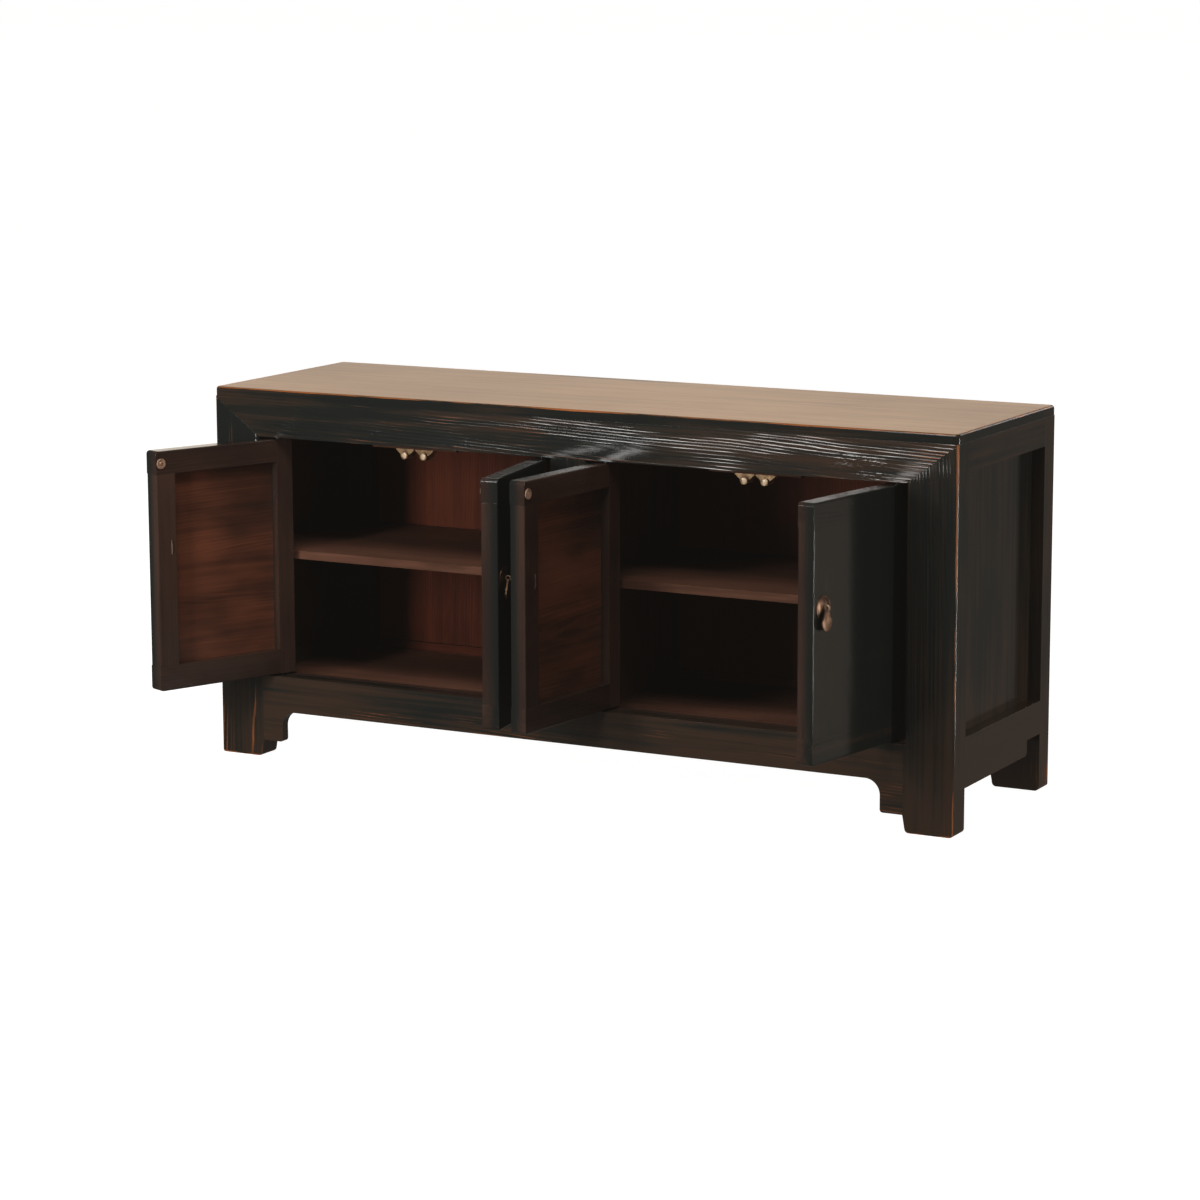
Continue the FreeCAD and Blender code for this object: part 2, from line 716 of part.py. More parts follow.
def build_catches():
    battens = []
    for word, side in SIDES.items():
        middle = signed(side, "opening_middle")
        battens.append(box(f"catch_batten_{word}",
                           (f"{middle} - batten_length / 2", f"{middle} + batten_length / 2"),
                           ("front_back", "front_back + batten_thickness"),
                           ("batten_bottom", "opening_top + batten_lap")))
    finish("catch_battens", group("catch_battens", battens))
    bodies = []
    magnets = []
    for i, x in enumerate(catch_places(), start=1):
        wings = [
            (f"{x} - catch_base_width / 2", "batten_bottom - catch_base_edge"),
            (f"{x} - catch_radius", "catch_z"),
            (f"{x} + catch_radius", "catch_z"),
            (f"{x} + catch_base_width / 2", "batten_bottom - catch_base_edge"),
            (f"{x} + catch_base_width / 2", "batten_bottom"),
            (f"{x} - catch_base_width / 2", "batten_bottom"),
        ]
        base_middle = "catch_front + catch_length / 2"
        saddle = prism(f"catch_saddle_{i}", "XZ", wings,
                       (f"{base_middle} - catch_base_length / 2", f"{base_middle} + catch_base_length / 2"))
        barrel = rod(f"catch_barrel_{i}", "y", (x, "catch_front", "catch_z"), "catch_radius", "catch_length")
        bore = rod(f"catch_bore_{i}", "y", (x, "catch_front - overrun", "catch_z"),
                   "magnet_radius + magnet_clearance", "magnet_length + overrun")
        bodies.append(cut(f"catch_body_{i}", join(f"catch_blank_{i}", [saddle, barrel]), [bore]))
        magnets.append(rod(f"catch_magnet_{i}", "y", (x, "catch_front", "catch_z"),
                           "magnet_radius", "magnet_length"))
    finish("catch_bodies", group("catch_bodies", bodies))
    finish("catch_magnets", group("catch_magnets", magnets))


# Doors, each drawn about its pivot with the outer face towards -Y
# Side is +1 where the pivot is on the left

DOORS = {1: (1, "-pivot_end_x"), 2: (-1, "-pivot_mid_x"), 3: (1, "pivot_mid_x"), 4: (-1, "pivot_end_x")}
FACES = ("-half_door", "half_door")
DOOR_TENON_Y = ("-door_tenon_thickness / 2", "door_tenon_thickness / 2")
TONGUE_Y = ("tongue_y - door_tongue_thickness / 2", "tongue_y + door_tongue_thickness / 2")


def hinge_stile(name, side):
    """Full-height stile with a heel rounded about the pivot and a turned pin at each end."""
    height = ("door_bottom", "door_top")
    straight = box(name + "_straight", toward(side, "0", "hinge_stile_edge"), FACES, height)
    round_heel = rod(name + "_round", "z", ("0", "0", "door_bottom"), "heel_radius", "door_top - door_bottom")
    slab = box(name + "_slab", toward(side, "-heel_radius - overrun", "0"), FACES, height)
    heel = doc.addObject("Part::MultiCommon", name + "_heel")
    heel.Shapes = [round_heel, slab]
    pin = rod(name + "_pin", "z", ("0", "0", "opening_bottom - pivot_length"), "pivot_diameter / 2",
              "opening_top - opening_bottom + 2 * pivot_length")
    near = "hinge_stile_edge - door_tenon_length"
    tools = [
        box(f"{name}_{level}_mortise", toward(side, near, "hinge_stile_edge + overrun"), DOOR_TENON_Y, z_span)
        for level, z_span in rail_tenon_spans()
    ]
    groove_x = toward(side, "hinge_stile_edge - door_tongue_depth", "hinge_stile_edge + overrun")
    tools.append(box(name + "_groove", groove_x, TONGUE_Y, ("door_field_bottom", "door_field_top")))
    return cut(name, join(name + "_whole", [straight, heel, pin]), tools)


def rail_tenon_spans():
    """Heights of the two rails' tenons."""
    return (
        ("top", ("door_field_top + door_tenon_shoulder", "door_top - door_tenon_shoulder")),
        ("bottom", ("door_bottom + door_tenon_shoulder", "door_field_bottom - door_tenon_shoulder")),
    )


def stile_tenon_x(side):
    """Width of the free stile's tenon, clear of the panel groove."""
    return toward(side, "free_stile_edge + door_tenon_shoulder", "door_reach - door_tenon_shoulder")


def door_rail(name, side, level):
    """Rail that runs from the hinge stile to the free edge."""
    if level == "top":
        corners = [
            ("-half_door", "door_field_top"),
            ("half_door", "door_field_top"),
            ("half_door", "door_top", "door_edge_radius"),
            ("-half_door", "door_top", "door_edge_radius"),
        ]
        free_corner = (signed(side, "door_reach"), "door_top")
        inward = (-side, -1)
        groove_z = ("door_field_top - overrun", "door_field_top + door_tongue_depth")
        mortise_z = ("door_field_top - overrun", "door_field_top + door_tenon_length")
    else:
        corners = [
            ("-half_door", "door_bottom", "door_edge_radius"),
            ("half_door", "door_bottom", "door_edge_radius"),
            ("half_door", "door_field_bottom"),
            ("-half_door", "door_field_bottom"),
        ]
        free_corner = (signed(side, "door_reach"), "door_bottom")
        inward = (-side, 1)
        groove_z = ("door_field_bottom - door_tongue_depth", "door_field_bottom + overrun")
        mortise_z = ("door_field_bottom - door_tenon_length", "door_field_bottom + overrun")
    bar = prism(name + "_bar", "YZ", corners, toward(side, "hinge_stile_edge", "door_reach"))
    tenon = box(name + "_tenon", toward(side, "hinge_stile_edge - door_tenon_length", "hinge_stile_edge"),
                DOOR_TENON_Y, dict(rail_tenon_spans())[level])
    tools = [
        box(name + "_groove", toward(side, "hinge_stile_edge", "free_stile_edge"), TONGUE_Y, groove_z),
        box(name + "_mortise", stile_tenon_x(side), DOOR_TENON_Y, mortise_z),
        arris_tool(name + "_corner", free_corner, inward, ("-half_door - overrun", "half_door + overrun"),
                   "door_corner_radius", "y"),
    ]
    return cut(name, join(name + "_whole", [bar, tenon]), tools)


def pin_slot(name, side, y_span):
    """Slot that the shank of the pull's pin goes through."""
    x = signed(side, "pull_x")
    return box(name, (f"{x} - pin_strip / 2 - pin_clearance", f"{x} + pin_strip / 2 + pin_clearance"), y_span,
               ("pull_height - pin_shank_height / 2 - pin_clearance",
                "pull_height + pin_shank_height / 2 + pin_clearance"))


def free_stile(name, side):
    """Stile between the rails, at the edge where the doors of a pair meet."""
    near = signed(side, "free_stile_edge")
    far = signed(side, "door_reach")
    corners = [
        (near, "-half_door"),
        (far, "-half_door", "door_edge_radius"),
        (far, "half_door", "door_edge_radius"),
        (near, "half_door"),
    ]
    bar = prism(name + "_bar", "XY", corners, ("door_field_bottom", "door_field_top"))
    tenon = box(name + "_tenon", stile_tenon_x(side), DOOR_TENON_Y,
                ("door_field_bottom - door_tenon_length", "door_field_top + door_tenon_length"))
    tools = [
        box(name + "_groove",
            toward(side, "free_stile_edge - overrun", "free_stile_edge + door_tongue_depth"),
            TONGUE_Y, ("door_field_bottom", "door_field_top")),
        pin_slot(name + "_pin_slot", side, ("-half_door - overrun", "half_door + overrun")),
    ]
    return cut(name, join(name + "_whole", [bar, tenon]), tools)


def door_panel(name, side):
    """Board that is flush with the outer face and sunk inside, with a tongue all round."""
    field = box(name + "_field", toward(side, "hinge_stile_edge", "free_stile_edge"),
                ("-half_door", "panel_face"), ("door_field_bottom", "door_field_top"))
    cross_x = toward(side, "hinge_stile_edge - door_tongue_depth", "free_stile_edge + door_tongue_depth")
    tongue_x = box(name + "_tongue_x", cross_x, TONGUE_Y, ("door_field_bottom", "door_field_top"))
    tongue_z = box(name + "_tongue_z", toward(side, "hinge_stile_edge", "free_stile_edge"), TONGUE_Y,
                   ("door_field_bottom - door_tongue_depth", "door_field_top + door_tongue_depth"))
    return join(name, [field, tongue_x, tongue_z])


def strike(name, side):
    """Flat disc on the inner face that the catch's magnet holds."""
    disc = rod(name + "_disc", "y", (signed(side, "strike_x"), "half_door", "strike_z"),
               "strike_diameter / 2", "strike_thickness")
    return group(name, [disc])


def pull_plate(name, side):
    """Flat round plate on the outer face, slotted for the pin."""
    disc = rod(name + "_disc", "y", (signed(side, "pull_x"), "-plate_face", "pull_height"),
               "plate_diameter / 2", "plate_thickness")
    return cut(name, disc, [pin_slot(name + "_slot", side, ("-plate_face - overrun", "-half_door + overrun"))])


def pull_pin(name, side):
    """Split pin of strip: an eight-sided eye outside, a shank through the stile and tails bent over inside."""
    x = signed(side, "pull_x")
    strip_x = (f"{x} - pin_strip / 2", f"{x} + pin_strip / 2")
    outer = prism(name + "_eye_outer", "YZ", octagon("-eye_depth", "pull_height", "eye_outer"), strip_x)
    inner = prism(name + "_eye_inner", "YZ", octagon("-eye_depth", "pull_height", "eye_inner"),
                  (f"{strip_x[0]} - overrun", f"{strip_x[1]} + overrun"))
    shank = box(name + "_shank", strip_x, ("-shank_front", "shank_back"),
                ("pull_height - pin_shank_height / 2", "pull_height + pin_shank_height / 2"))
    tails = box(name + "_tails", strip_x, ("half_door", "shank_back"),
                ("pull_height - pin_tail_length", "pull_height + pin_tail_length"))
    return join(name, [cut(name + "_eye", outer, [inner]), shank, tails])


def pull_pendant(name, side):
    """Flat leaf that widens to a round foot and hangs by a hole from the lowest part of the eye."""
    x = signed(side, "pull_x")
    back = "-eye_depth - pendant_thickness / 2"
    slope_ends = (("pendant_neck_width", "pendant_axis_z"), ("pendant_width", "pendant_foot_z"))
    discs = [
        rod(f"{name}_{width}", "y", (x, back, z), f"{width} / 2", "pendant_thickness")
        for width, z in slope_ends
    ]
    right = [
        (f"{x} + {width} / 2 * pendant_lean_cosine", f"{z} + {width} / 2 * pendant_lean_sine")
        for width, z in reversed(slope_ends)
    ]
    left = [
        (f"{x} - {width} / 2 * pendant_lean_cosine", f"{z} + {width} / 2 * pendant_lean_sine")
        for width, z in slope_ends
    ]
    blade = prism(name + "_blade", "XZ", right + left, (back, f"{back} + pendant_thickness"))
    hole = prism(name + "_hole", "XZ", octagon(x, "pendant_axis_z", "pendant_hole_reach"),
                 (f"{back} - overrun", f"{back} + pendant_thickness + overrun"))
    return cut(name, join(name + "_leaf", discs + [blade]), [hole])


def build_door(number, side, pivot_x):
    name = f"door_{number}"
    pieces = {
        "hinge_stile": hinge_stile(name + "_hinge_stile", side),
        "free_stile": free_stile(name + "_free_stile", side),
        "top_rail": door_rail(name + "_top_rail", side, "top"),
        "bottom_rail": door_rail(name + "_bottom_rail", side, "bottom"),
        "panel": door_panel(name + "_panel", side),
        "strike": strike(name + "_strike", side),
        "pull_plate": pull_plate(name + "_pull_plate", side),
        "pull_pin": pull_pin(name + "_pull_pin", side),
        "pull_pendant": pull_pendant(name + "_pull_pendant", side),
    }
    place = (f"{pivot_x} + case_shift_x", "pivot_y + case_shift_y")
    turn = signed(-side, f"door_{number}_angle")
    for word, piece in pieces.items():
        finish(f"{name}_{word}", piece, place, turn)


build_top_board()
for word, side in SIDES.items():
    build_front_leg(word, side)
    build_back_leg(word, side)
    build_side(word, side)
build_front_top_rail()
build_front_apron()
build_centre_stile()
build_back_rail("top", ("opening_top", "under_top"), BACK_TOP_TENON_Z,
                ("opening_top - overrun", "opening_top + groove_depth"), floor_groove=False)
build_back_rail("bottom", ("apron_bottom", "opening_bottom"), APRON_TENON_Z,
                ("opening_bottom - groove_depth", "opening_bottom + overrun"), floor_groove=True)
build_back_panel()
build_floor_and_shelf()
build_dividers()
build_catches()
for number, (side, pivot_x) in DOORS.items():
    build_door(number, side, pivot_x)
doc.recompute()

# Every object has to be sound before anything is written
for obj in doc.Objects:
    if any(flag in obj.State for flag in ("Invalid", "Error")):
        raise RuntimeError(f"{obj.Label} failed: {obj.State}")
for node, obj in SUBPARTS.items():
    if obj.Shape.isNull() or not obj.Shape.isValid() or not obj.Shape.Solids:
        raise RuntimeError(f"{node} has no sound solid")

os.makedirs("parts", exist_ok=True)
for node, obj in SUBPARTS.items():
    obj.Shape.exportStep(f"parts/{node}.step")
whole = FreeCAD.BoundBox()
for obj in SUBPARTS.values():
    whole.add(obj.Shape.BoundBox)
print(f"{len(SUBPARTS)} sub-parts, {whole}")
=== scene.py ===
"""Looks of the low four-door sideboard: worn black lacquer over raised grain, brown insides, drop pulls.

Metres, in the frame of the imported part. Each wooden piece is a copy of its solid that carries where it
lay in the trunk and how deep it lies under the outer faces, so that grain and wear follow the board.
"""

import json
import math
from typing import NamedTuple

import bmesh
import bpy
from mathutils import Matrix, Vector

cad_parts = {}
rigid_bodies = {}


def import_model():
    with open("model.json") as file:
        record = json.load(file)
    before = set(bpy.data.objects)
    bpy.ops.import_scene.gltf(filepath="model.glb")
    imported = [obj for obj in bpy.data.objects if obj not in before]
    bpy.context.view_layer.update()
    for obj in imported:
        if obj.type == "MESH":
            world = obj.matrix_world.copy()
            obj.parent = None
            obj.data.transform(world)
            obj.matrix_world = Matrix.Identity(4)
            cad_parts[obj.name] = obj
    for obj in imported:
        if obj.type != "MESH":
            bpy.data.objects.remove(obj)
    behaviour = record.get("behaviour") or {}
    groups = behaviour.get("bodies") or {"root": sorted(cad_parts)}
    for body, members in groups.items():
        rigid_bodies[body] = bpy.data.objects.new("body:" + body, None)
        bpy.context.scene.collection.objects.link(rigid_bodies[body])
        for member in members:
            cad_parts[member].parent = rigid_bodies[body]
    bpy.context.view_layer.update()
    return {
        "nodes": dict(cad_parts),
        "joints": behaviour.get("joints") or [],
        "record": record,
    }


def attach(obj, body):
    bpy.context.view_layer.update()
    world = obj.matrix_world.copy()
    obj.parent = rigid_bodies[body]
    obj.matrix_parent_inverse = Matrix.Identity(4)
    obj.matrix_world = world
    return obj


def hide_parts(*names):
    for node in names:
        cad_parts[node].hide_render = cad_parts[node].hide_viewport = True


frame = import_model()
scene = bpy.context.scene
MM = 0.001


def add_object(name, data):
    made = bpy.data.objects.new(name, data)
    scene.collection.objects.link(made)
    return made


# Camera, fitted to the photograph's straight edges

IMAGE_SIDE_PX = 1200
FOCAL_PX = 3672.3
SENSOR_MM = 36
CAMERA_PLACE = Vector((2.7745, -5.1756, 1.3676))
CAMERA_YAW, CAMERA_PITCH, CAMERA_ROLL = (math.radians(turn) for turn in (28.083, -10.282, -0.155))


def add_camera():
    camera = add_object("camera", bpy.data.cameras.new("camera"))
    camera.data.sensor_width = SENSOR_MM
    camera.data.lens = SENSOR_MM * FOCAL_PX / IMAGE_SIDE_PX
    upright = Matrix.Rotation(math.pi / 2 + CAMERA_PITCH, 4, "X")
    camera.matrix_world = (Matrix.Translation(CAMERA_PLACE) @ Matrix.Rotation(CAMERA_YAW, 4, "Z")
                           @ upright @ Matrix.Rotation(CAMERA_ROLL, 4, "Z"))
    scene.camera = camera


# Node materials

ROUGH_NOISE, FINE_NOISE = 2, 4
BEVEL_SAMPLES = 4
MIX_SHARE, MIX_FIRST, MIX_SECOND, MIX_COLOUR = 0, 6, 7, 2


class Look:
    """A node material under construction: a call adds a node and returns the output to read it by."""

    def __init__(self, name):
        self.material = bpy.data.materials.new(name)
        self.material.use_nodes = True
        self.tree = self.material.node_tree
        self.surface = self.tree.nodes["Principled BSDF"]

    def feed(self, socket, given):
        if isinstance(given, bpy.types.NodeSocket):
            self.tree.links.new(given, socket)
        else:
            socket.default_value = given

    def add(self, kind, inputs, output=0, **settings):
        node = self.tree.nodes.new(kind)
        for key, setting in settings.items():
            setattr(node, key, setting)
        for key, given in inputs.items():
            self.feed(node.inputs[key], given)
        return node.outputs[output]

    def math(self, operation, *values):
        return self.add("ShaderNodeMath", dict(enumerate(values)), operation=operation)

    def total(self, first, *pairs):
        """First value plus each other value times its weight."""
        for value, weight in pairs:
            first = self.math("MULTIPLY_ADD", value, weight, first)
        return first

    def least(self, first, *others):
        for other in others:
            first = self.math("MINIMUM", first, other)
        return first

    def vector(self, operation, *values):
        return self.add("ShaderNodeVectorMath", dict(enumerate(values)), operation=operation)

    def parts(self, vector):
        node = self.tree.nodes.new("ShaderNodeSeparateXYZ")
        self.feed(node.inputs[0], vector)
        return list(node.outputs)

    def step(self, value, low, high):
        """Smooth change from nought at low to one at high."""
        return self.add("ShaderNodeMapRange", {"Value": value, "From Min": low, "From Max": high},
                        interpolation_type="SMOOTHSTEP")

    def blend(self, value, first, last):
        """Straight-line value between two numbers as another goes from nought to one."""
        return self.add("ShaderNodeMapRange", {"Value": value, "To Min": first, "To Max": last})

    def mix(self, share, first, second):
        inputs = {MIX_SHARE: share, MIX_FIRST: opaque(first), MIX_SECOND: opaque(second)}
        return self.add("ShaderNodeMix", inputs, MIX_COLOUR, data_type="RGBA")

    def noise(self, place, scale, detail=FINE_NOISE):
        """Noise over a place in metres, with its own number of features to the metre along each axis."""
        stretched = self.vector("MULTIPLY", place, scale)
        return self.add("ShaderNodeTexNoise", {"Vector": stretched, "Scale": 1, "Detail": detail})

    def attribute(self, name, output):
        return self.add("ShaderNodeAttribute", {}, output, attribute_name=name)

    def bump(self, height, distance, under, strength=1):
        return self.add("ShaderNodeBump", {"Height": height, "Distance": distance, "Normal": under,
                                           "Strength": strength})

    def finish(self, **sockets):
        for name, given in sockets.items():
            self.feed(self.surface.inputs[name.replace("_", " ")], opaque(given))
        return self.material


def opaque(given):
    """A colour given as three numbers, with its fourth."""
    return (*given, 1) if isinstance(given, tuple) and len(given) == 3 else given


# Wood. Features to the metre are given along the grain, across it and through the board

HALF_SHARE = 0.5
ACROSS_GRAIN = (0, 1, 1)
RING_SPACING = 5.2 * MM
RING_SLOPE_SHARE = 0.03
RING_WANDER, WANDER_SCALE = 34 * MM, (1.1, 6, 6)
RING_WOBBLE, WOBBLE_SCALE = 6 * MM, (6, 70, 70)
RIDGE_SHARPNESS = 2.4
FADE_SCALE, RIDGED = (4, 38, 38), (0.35, 0.68)
PORE_SCALE = (26, 640, 640)
GRAIN_SCALE = (3, 110, 110)
RUB_SCALE = (6, 30, 30)
CLOUD_SCALE = (2.5, 5, 5)
DENT_SCALE = (11, 16, 16)
BLISTER_SCALE = (90, 150, 150)
BLISTERED_SCALE, BLISTERED = (6, 12, 12), (0.58, 0.72)
SEED_STEP = (3.71, 1.93, 0.87)
ARRIS_RADIUS, SEAM_RADIUS, ARRIS_NEAR = 2 * MM, 0.5 * MM, (8 * MM, 4 * MM)
RIDGE_RELIEF = 0.40 * MM
PORE_RELIEF = 0.03 * MM
DENT_RELIEF = 0.7 * MM
BLISTER_RELIEF = 1.4 * MM


class Wood(Look):
    """A look that knows its board: its place in the trunk, its depth in the piece and its wear."""

    def __init__(self, name):
        super().__init__(name)
        trunk = self.attribute("trunk", "Vector")
        seed = self.attribute("seed", "Fac")
        self.place = self.vector("ADD", trunk, self.vector("MULTIPLY", SEED_STEP, seed))
        self.low = self.parts(self.attribute("low", "Vector"))
        self.high = self.parts(self.attribute("high", "Vector"))
        self.wear = self.attribute("wear", "Fac")
        self.faded = self.attribute("faded", "Fac")
        self.raised = self.attribute("raised", "Fac")
        self.lines = self.year_rings(trunk)
        self.patches = self.step(self.noise(self.place, FADE_SCALE, ROUGH_NOISE), *RIDGED)
        self.ridges = self.math("MULTIPLY", self.lines, self.patches)
        self.pores = self.noise(self.place, PORE_SCALE)
        self.grain = self.noise(self.place, GRAIN_SCALE)
        self.rub = self.noise(self.place, RUB_SCALE)
        self.cloud = self.noise(self.place, CLOUD_SCALE)
        self.edge = self.edge_distance()

    def year_rings(self, trunk):
        """Lines of late wood, from nought to one: rings about the heart of a leaning, wavering trunk."""
        across = self.vector("MULTIPLY", trunk, ACROSS_GRAIN)
        radius = self.add("ShaderNodeVectorMath", {0: across}, "Value", operation="LENGTH")
        place = self.total(radius, (self.parts(trunk)[0], RING_SLOPE_SHARE),
                           (self.noise(self.place, WANDER_SCALE, ROUGH_NOISE), RING_WANDER),
                           (self.noise(self.place, WOBBLE_SCALE, ROUGH_NOISE), RING_WOBBLE))
        wave = self.math("SINE", self.math("DIVIDE", place, RING_SPACING / math.tau))
        lines = self.math("MULTIPLY_ADD", wave, HALF_SHARE, HALF_SHARE)
        return self.math("POWER", lines, RIDGE_SHARPNESS)

    def edge_distance(self):
        """Distance along the surface to the nearest arris of the whole that the board belongs to."""
        x, y, z = (self.least(low, high) for low, high in zip(self.low, self.high))
        return self.math("MAXIMUM", self.least(x, y), self.least(self.math("MAXIMUM", x, y), z))

    def streak(self, shares):
        """The board's clouds plus each of its other patterns times its share."""
        return self.total(self.cloud, *((getattr(self, name), share) for name, share in shares.items()))

    def relief(self):
        """Surface direction with rounded arrises, dents, blisters, raised late wood and pores."""
        radius = self.blend(self.step(self.edge, *ARRIS_NEAR), SEAM_RADIUS, ARRIS_RADIUS)
        arris = self.add("ShaderNodeBevel", {"Radius": radius}, samples=BEVEL_SAMPLES)
        dented = self.noise(self.place, DENT_SCALE, ROUGH_NOISE)
        dents = self.bump(dented, DENT_RELIEF, arris, self.raised)
        blistered = self.step(self.noise(self.place, BLISTERED_SCALE, ROUGH_NOISE), *BLISTERED)
        swelling = self.math("MULTIPLY", self.noise(self.place, BLISTER_SCALE), blistered)
        blisters = self.bump(swelling, BLISTER_RELIEF, dents, self.raised)
        ridges = self.bump(self.ridges, RIDGE_RELIEF, blisters, self.raised)
        return self.bump(self.pores, PORE_RELIEF, ridges)


# Lacquer, rubbed wood and stain

LACQUER = (0.0085, 0.0110, 0.0104)
LACQUER_BROWN = (0.040, 0.0235, 0.0150)
BARE_WOOD = (0.42, 0.130, 0.032)
DARK_WOOD = (0.18, 0.060, 0.020)
FRAME_INSIDE_DARK = (0.024, 0.0130, 0.0100)
FRAME_INSIDE_LIGHT = (0.056, 0.0305, 0.0225)
LACQUER_SHINE, STAIN_SHINE = 0.5, 0.08
CRESTED, SCRATCHED, RUBBED, BROWNED = (0.60, 1.0), (0.55, 0.70), (0.80, 0.93), (0.80, 1.16)
ARRIS_RUB, FOOT_RUB, FOOT_FADE, GRAIN_FADE = 0.62, 0.24, 0.30, 0.7
LACQUER_ROUGHNESS, BARE_ROUGHER, CORE_ROUGHER = (0.10, 0.19), 0.2, 0.14
ARRIS_REACH = 6 * MM
FOOT_REACH, FADE_REACH = 170 * MM, 340 * MM
SKIN_DEPTH, CORE_DEPTH = 26 * MM, 30 * MM


def lacquered(look, extra_rub=0):
    """Colour of black lacquer, rubbed through to orange wood on crests and arrises, and bare share."""
    arris = look.step(look.edge, ARRIS_REACH, 0)
    foot = look.step(look.low[2], FOOT_REACH, 0)
    level = look.math("ADD", look.rub, look.wear)
    streaked = look.math("MULTIPLY", look.step(look.lines, *CRESTED), look.patches)
    crests = look.math("MULTIPLY", streaked, look.step(look.total(level, (foot, FOOT_RUB)), *SCRATCHED))
    edges = look.step(look.total(look.math("ADD", level, extra_rub), (arris, ARRIS_RUB)), *RUBBED)
    worn = look.math("MAXIMUM", crests, edges)
    lower = look.step(look.low[2], FADE_REACH, 0)
    clouded = look.math("ADD", look.cloud, look.faded)
    faded = look.total(clouded, (lower, FOOT_FADE), (look.grain, GRAIN_FADE))
    tone = look.mix(look.step(faded, *BROWNED), LACQUER, LACQUER_BROWN)
    return look.mix(worn, tone, look.mix(look.pores, DARK_WOOD, BARE_WOOD)), worn


def case_lacquer():
    """The case's frame: lacquer on the outer faces, plain brown stain deeper in."""
    look = Wood("case_lacquer")
    colour, worn = lacquered(look)
    depth = look.least(look.low[0], look.high[0], look.low[1], look.high[1])
    core = look.step(depth, SKIN_DEPTH, CORE_DEPTH)
    stain = look.mix(look.pores, FRAME_INSIDE_DARK, FRAME_INSIDE_LIGHT)
    gloss = look.blend(look.rub, *LACQUER_ROUGHNESS)
    rough = look.total(gloss, (worn, BARE_ROUGHER), (core, CORE_ROUGHER))
    return look.finish(Base_Color=look.mix(core, colour, stain), Roughness=rough,
                       Specular_IOR_Level=LACQUER_SHINE, Normal=look.relief())


# The top's browns are partly the wood's own colour and partly painted sheen of the pale studio seen at
# grazing angles
TOP_TAN_AND_SHEEN = (0.46, 0.275, 0.150)
TOP_BROWN_AND_SHEEN = (0.28, 0.155, 0.078)
TOP_MARK = (0.13, 0.086, 0.048)
MARK_FROM, MARK_TO = (380 * MM, 500 * MM), (720 * MM, 600 * MM)
MARK_FEATHER, MARK_DEPTH = 50 * MM, (2 * MM, -14 * MM)
TOP_SKIN = (0.9 * MM, 0.2 * MM)
TOP_ARRIS = (4.4 * MM, 2.2 * MM)
TOP_RUB = 0.02
TOP_STREAK_SHARES, TOP_STREAKED = {"grain": 0.9, "pores": 0.4, "ridges": 0.12}, (0.8, 1.6)
TOP_ROUGHNESS = (0.13, 0.40)


def top_lacquer():
    """Satin top in light browns that are partly its own colour and partly painted sheen; its edges have
    the front's black lacquer, rubbed to orange at the upper arris.
    """
    look = Wood("top_lacquer")
    upper = look.step(look.high[2], *TOP_SKIN)
    rubbed = look.math("MULTIPLY", look.step(look.high[2], *TOP_ARRIS), TOP_RUB)
    edge, _ = lacquered(look, rubbed)
    # Light browns that are partly the top's own colour and partly painted sheen
    tan_and_sheen = look.mix(look.step(look.streak(TOP_STREAK_SHARES), *TOP_STREAKED), TOP_BROWN_AND_SHEEN, TOP_TAN_AND_SHEEN)
    along = look.math("MULTIPLY", look.step(look.low[0], *MARK_FROM), look.step(look.low[0], *MARK_TO))
    feathered = look.total(look.high[1], (look.grain, -MARK_FEATHER))
    mark = look.math("MULTIPLY", along, look.step(feathered, *MARK_DEPTH))
    tan_and_sheen = look.mix(mark, tan_and_sheen, TOP_MARK)
    return look.finish(Base_Color=look.mix(upper, edge, tan_and_sheen),
                       Roughness=look.blend(upper, *TOP_ROUGHNESS),
                       Specular_IOR_Level=LACQUER_SHINE, Normal=look.relief())


PANEL_SKIN, FRAME_SKIN = (1.5 * MM, 3.5 * MM), (5 * MM, 24 * MM)
PANEL_DARK, PANEL_LIGHT = (0.032, 0.0145, 0.0100), (0.165, 0.053, 0.027)
DOOR_STREAK_SHARES, DOOR_STREAKED = {"rub": 0.3, "grain": 0.22, "ridges": 0.07}, (0.58, 0.98)
DOOR_ROUGHNESS = (0.13, 0.17)


def door_wood(name, dark, light, skin):
    """A door's frame or panel: smooth black lacquer on the outer face, brown stain further in."""
    look = Wood(name)
    colour, _ = lacquered(look)
    inner = look.step(look.low[1], *skin)
    stain = look.mix(look.step(look.streak(DOOR_STREAK_SHARES), *DOOR_STREAKED), dark, light)
    return look.finish(Base_Color=look.mix(inner, colour, stain),
                       Roughness=look.blend(inner, *DOOR_ROUGHNESS),
                       Specular_IOR_Level=LACQUER_SHINE, Normal=look.relief())


INSIDE_DARK, INSIDE_LIGHT = (0.056, 0.0245, 0.0155), (0.145, 0.066, 0.042)
BACK_DARK, BACK_LIGHT = (0.048, 0.0120, 0.0060), (0.130, 0.034, 0.0170)
STAIN_STREAK_SHARES, STAIN_STREAKED = {"pores": 0.3, "grain": 0.4, "ridges": 0.15}, (0.6, 1.2)
INSIDE_ROUGHNESS, BACK_ROUGHNESS = (0.42, 0.62), (0.45, 0.65)


def stained_wood(name, dark, light, roughness):
    """Thinly stained wood with visible grain and blotches."""
    look = Wood(name)
    colour = look.mix(look.step(look.streak(STAIN_STREAK_SHARES), *STAIN_STREAKED), dark, light)
    return look.finish(Base_Color=colour, Roughness=look.blend(look.pores, *roughness),
                       Specular_IOR_Level=STAIN_SHINE, Normal=look.relief())


# Metal

SMUDGE_SCALE, GRIT_SCALE = (90, 90, 90), (800, 800, 800)
METAL_ARRIS = 0.5 * MM
GRIT_RELIEF = 0.05 * MM
POLISHED = (0.35, 0.7)
DULL_ROUGHER, POLISHED_SMOOTHER = 0.12, 0.1


class Metal(NamedTuple):
    dark: tuple
    bright: tuple
    roughness: float
    metallic_share: float


